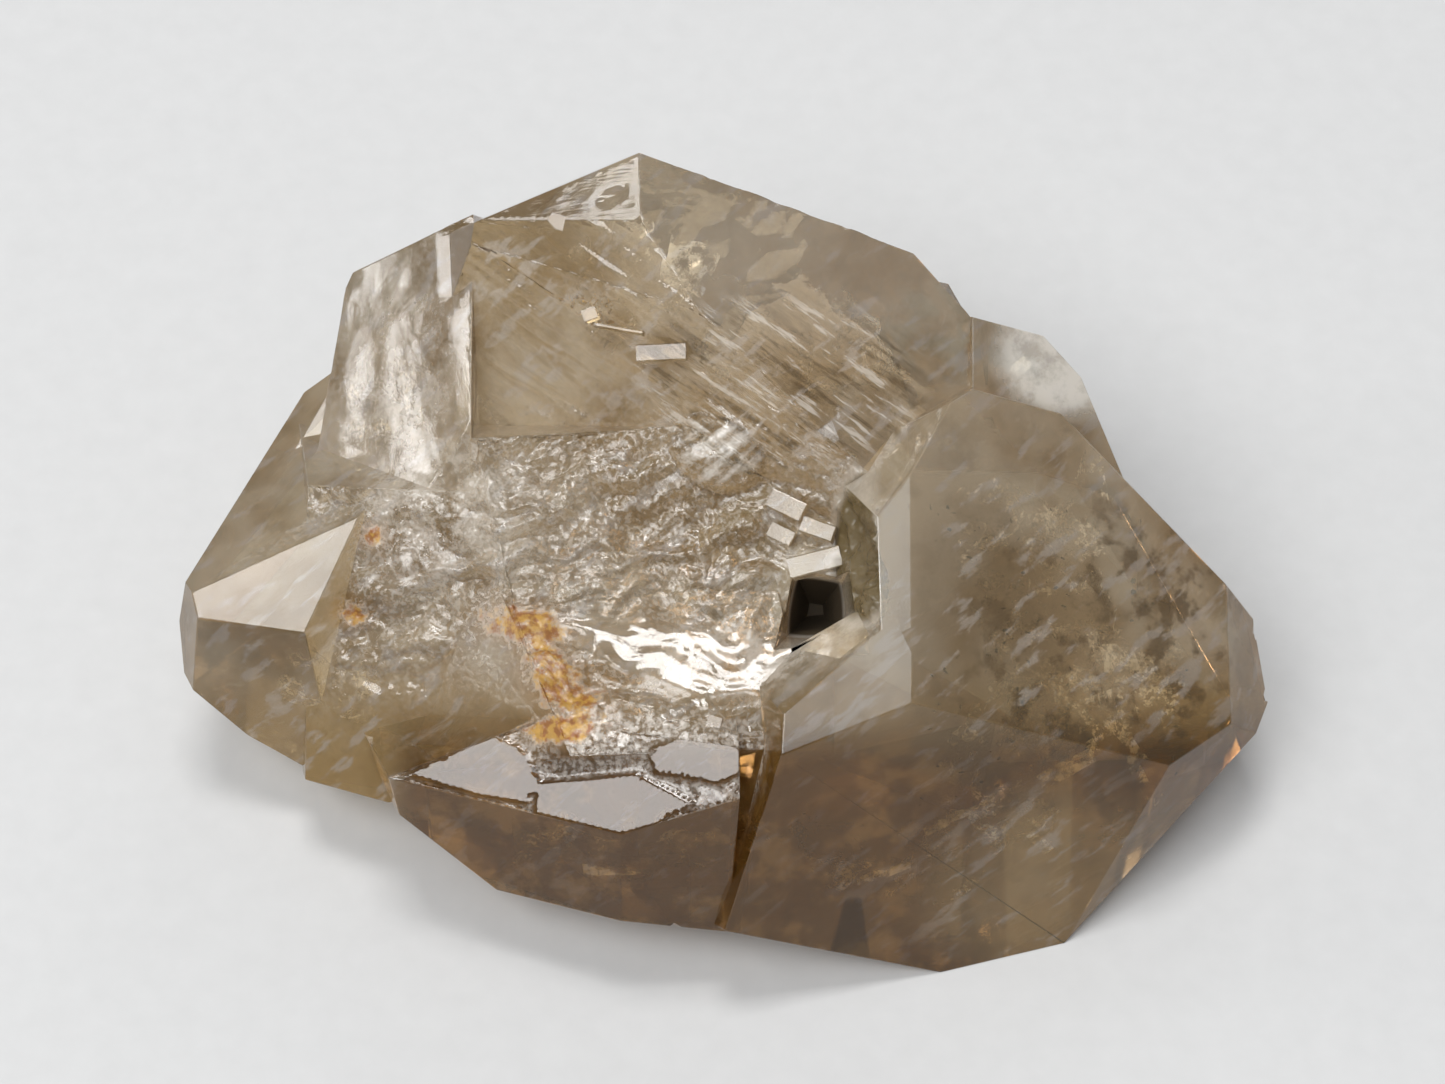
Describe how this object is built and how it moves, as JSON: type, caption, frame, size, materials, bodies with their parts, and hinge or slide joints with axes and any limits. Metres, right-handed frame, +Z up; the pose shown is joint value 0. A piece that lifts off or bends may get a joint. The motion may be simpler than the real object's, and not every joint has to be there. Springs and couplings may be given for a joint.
{
  "type": "quartz crystal",
  "caption": "Smoky quartz crystal group, intergrown flat-faced crystals round an etched hollow, resting on a flat underside.",
  "frame": {"origin": "bottom centre of the bounding box, on the plane of the resting face", "axes": "+X along the group's longest extent towards the large right-hand crystal, +Y away from the viewer towards the steep back, +Z up"},
  "size_m": [0.0396, 0.0274, 0.0205],
  "materials": {
    "smoky_quartz": "translucent smoky brown quartz, glossy crystal faces, etched hollow with iron stain"
  },
  "bodies": {
    "root": {"quartz_crystal": "smoky_quartz"}
  },
  "joints": []
}
